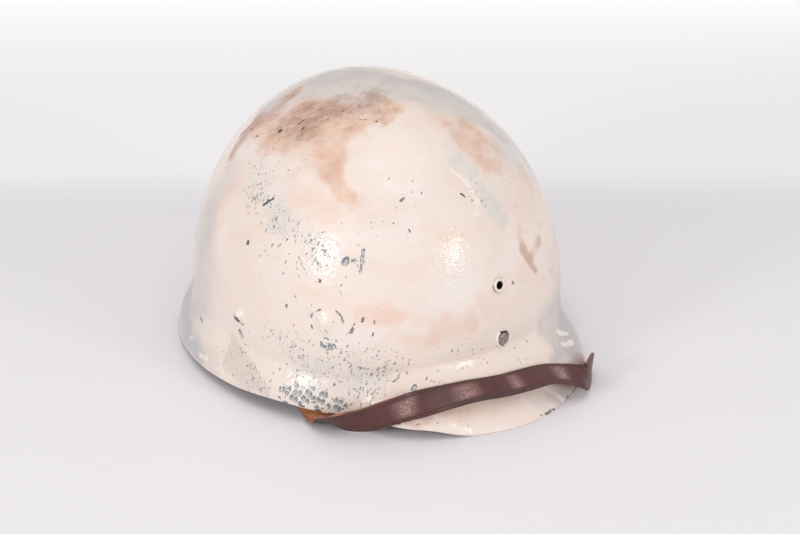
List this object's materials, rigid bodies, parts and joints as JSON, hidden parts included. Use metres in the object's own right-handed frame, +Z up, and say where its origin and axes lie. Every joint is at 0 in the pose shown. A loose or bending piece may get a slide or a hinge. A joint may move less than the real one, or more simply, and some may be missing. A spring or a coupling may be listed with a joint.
{
  "type": "military helmet",
  "caption": "Hard domed helmet shell with a short peak and flared rim, an air eyelet, wall rivets and a flat leather chin strap worn over the peak, in aged chipped cream paint.",
  "frame": {"origin": "on the surface that the rim rests on, at the middle of the bounding box", "axes": "+Z up through the crown, the peak at -Y, the nape at +Y, the wearer's left at +X"},
  "size_m": [0.23, 0.2735, 0.17],
  "materials": {
    "shell_paint": "semi-gloss cream paint over resin-bonded cloth, worn, stained and chipped to blue-grey",
    "fitting_paint": "cream paint over metal, chipped at the edges",
    "bare_metal": "dull tarnished metal with cream paint left at its edge",
    "strap_leather": "dark red-brown grain side, worn and creased, tan flesh side and cut edges"
  },
  "bodies": {
    "root": {"shell": "shell_paint", "air_eyelet": "fitting_paint", "front_rivet": "bare_metal", "side_rivet_right": "fitting_paint", "side_rivet_left": "fitting_paint", "strap_stud_right": "fitting_paint", "strap_stud_left": "fitting_paint", "chin_strap": "strap_leather"}
  },
  "joints": []
}
